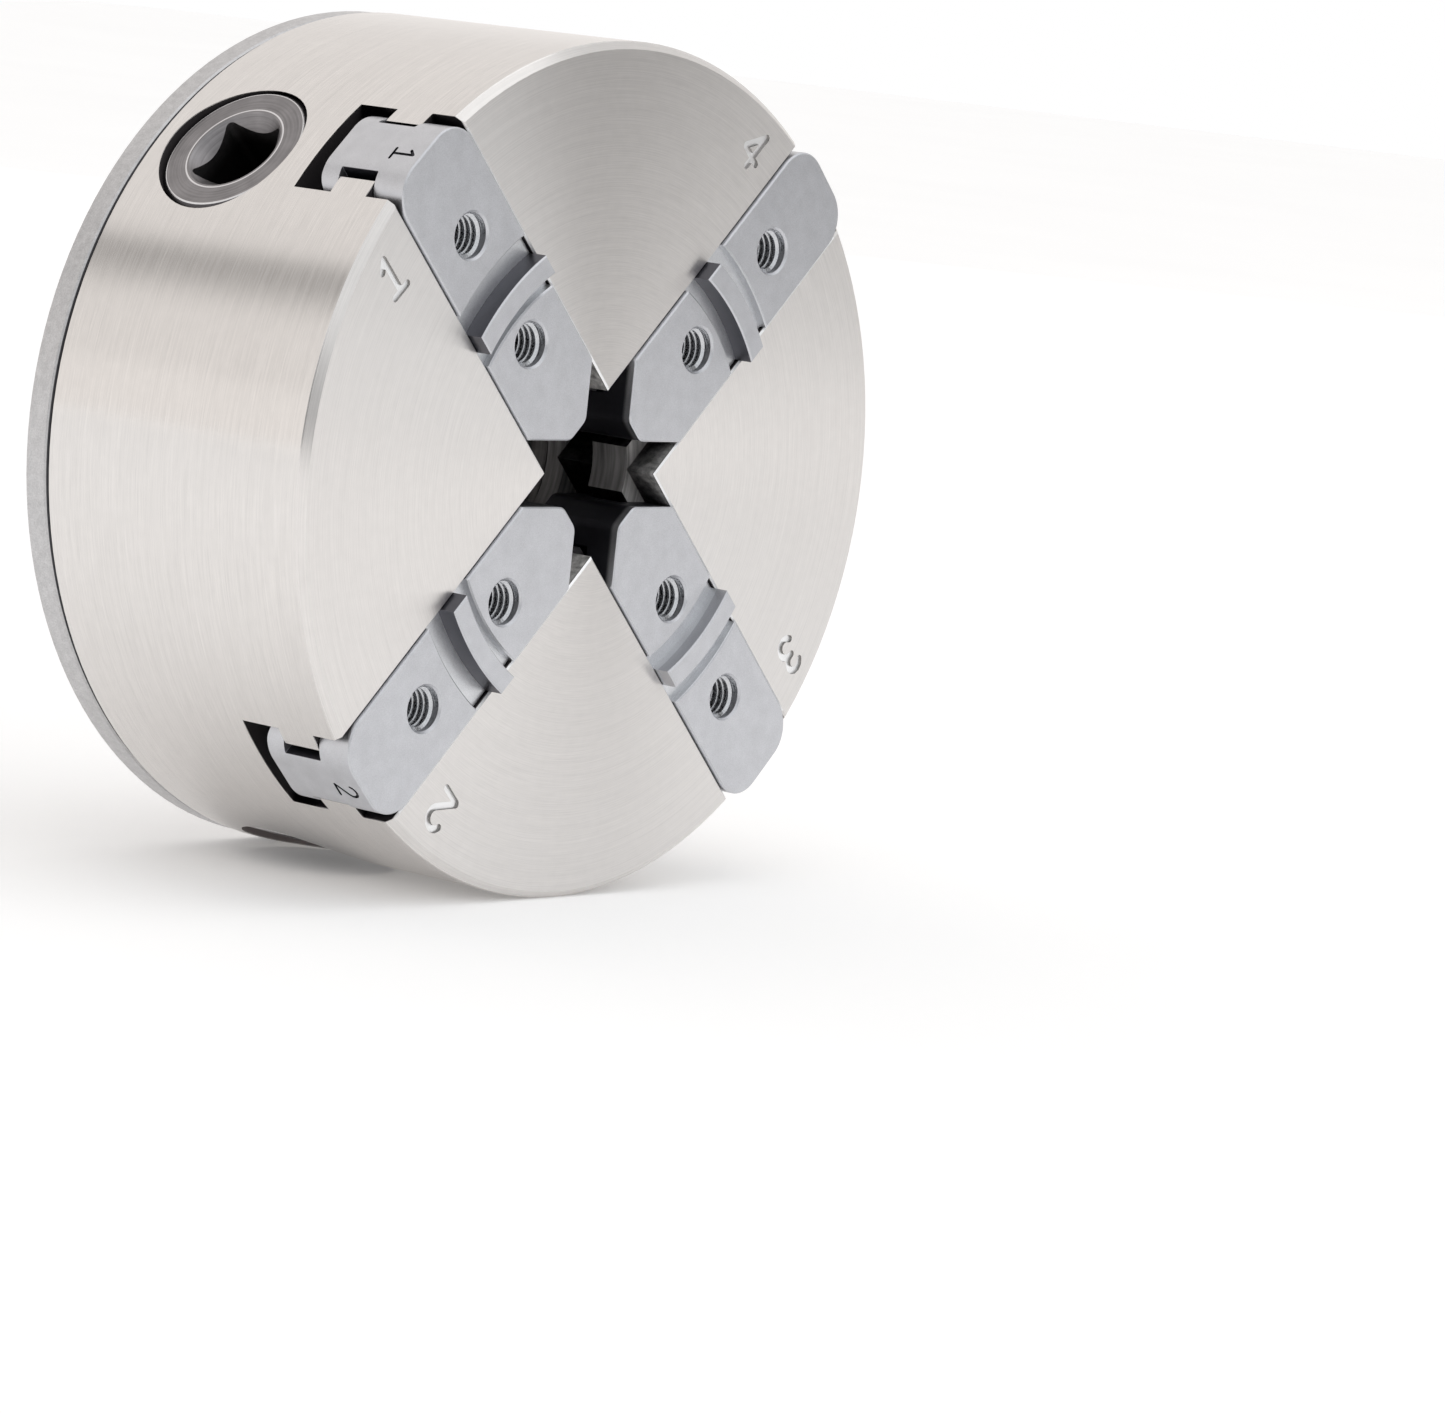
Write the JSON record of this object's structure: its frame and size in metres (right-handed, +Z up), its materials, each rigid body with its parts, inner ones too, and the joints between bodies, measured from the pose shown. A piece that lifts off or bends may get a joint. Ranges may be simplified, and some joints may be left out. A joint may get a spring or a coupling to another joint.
{
  "type": "lathe chuck",
  "caption": "Self-centring scroll chuck with numbered T-slot jaw slides, square-socket bevel pinions in the rim and a threaded spindle hub.",
  "frame": {"origin": "centre of the hub's rear face, at the mouth of the spindle register", "axes": "+Y along the spindle axis out of the hub's back, so the jaw face looks towards -Y; +Z up, with the jaws at 45 degrees to X and Z"},
  "size_m": [0.114, 0.0662, 0.114],
  "materials": {
    "body_steel": "fine turned stainless steel, bright and slightly warm",
    "jaw_steel": "satin nickel-plated steel, fine blasted grain",
    "pinion_steel": "dark hardened steel with turning rings",
    "gear_steel": "oiled hardened steel",
    "cover_steel": "blasted grey steel",
    "screw_steel": "black oxide",
    "spring_steel": "dark spring steel"
  },
  "bodies": {
    "body": {"chuck_body": "body_steel", "backplate": "cover_steel", "backplate_screw_1": "screw_steel", "backplate_screw_2": "screw_steel", "backplate_screw_3": "screw_steel", "backplate_screw_4": "screw_steel", "backplate_screw_5": "screw_steel", "backplate_screw_6": "screw_steel", "pinion_retaining_pin_1": "screw_steel", "pinion_retaining_pin_2": "screw_steel", "pinion_retaining_pin_3": "screw_steel", "spindle_lock_screw_1": "screw_steel", "spindle_lock_screw_2": "screw_steel", "scroll_retaining_ring": "spring_steel"},
    "scroll": {"scroll": "gear_steel"},
    "pinion_1": {"pinion_1": "pinion_steel"},
    "pinion_2": {"pinion_2": "pinion_steel"},
    "pinion_3": {"pinion_3": "pinion_steel"},
    "jaw_1": {"jaw_slide_1": "jaw_steel"},
    "jaw_2": {"jaw_slide_2": "jaw_steel"},
    "jaw_3": {"jaw_slide_3": "jaw_steel"},
    "jaw_4": {"jaw_slide_4": "jaw_steel"}
  },
  "joints": [
    {"name": "scroll_turn", "type": "hinge", "parent": "body", "child": "scroll", "pos_m": [0, 0, 0], "axis": [0, -1, 0], "range_deg": [-864, 432]},
    {"name": "pinion_1_turn", "type": "hinge", "parent": "body", "child": "pinion_1", "pos_m": [-0.0368, -0.0316, 0.03384], "axis": [-0.7361, 0, 0.6769], "range_deg": [-2161, 4321]},
    {"name": "pinion_2_turn", "type": "hinge", "parent": "body", "child": "pinion_2", "pos_m": [-0.01091, -0.0316, -0.0488], "axis": [-0.2181, 0, -0.9759], "range_deg": [-2161, 4321]},
    {"name": "pinion_3_turn", "type": "hinge", "parent": "body", "child": "pinion_3", "pos_m": [0.04771, -0.0316, 0.01495], "axis": [0.9542, 0, 0.299], "range_deg": [-2161, 4321]},
    {"name": "jaw_1_slide", "type": "slide", "parent": "body", "child": "jaw_1", "axis": [-0.7071, 0, 0.7071], "range_m": [-0.006, 0.012]},
    {"name": "jaw_2_slide", "type": "slide", "parent": "body", "child": "jaw_2", "axis": [-0.7071, 0, -0.7071], "range_m": [-0.006, 0.012]},
    {"name": "jaw_3_slide", "type": "slide", "parent": "body", "child": "jaw_3", "axis": [0.7071, 0, -0.7071], "range_m": [-0.006, 0.012]},
    {"name": "jaw_4_slide", "type": "slide", "parent": "body", "child": "jaw_4", "axis": [0.7071, 0, 0.7071], "range_m": [-0.006, 0.012]}
  ],
  "couplings": [
    {"joint": "pinion_1_turn", "follows": "scroll_turn", "ratio": -5},
    {"joint": "pinion_2_turn", "follows": "scroll_turn", "ratio": -5},
    {"joint": "pinion_3_turn", "follows": "scroll_turn", "ratio": -5},
    {"joint": "jaw_1_slide", "follows": "scroll_turn", "m_per_rad": -0.00079577},
    {"joint": "jaw_2_slide", "follows": "scroll_turn", "m_per_rad": -0.00079577},
    {"joint": "jaw_3_slide", "follows": "scroll_turn", "m_per_rad": -0.00079577},
    {"joint": "jaw_4_slide", "follows": "scroll_turn", "m_per_rad": -0.00079577}
  ]
}
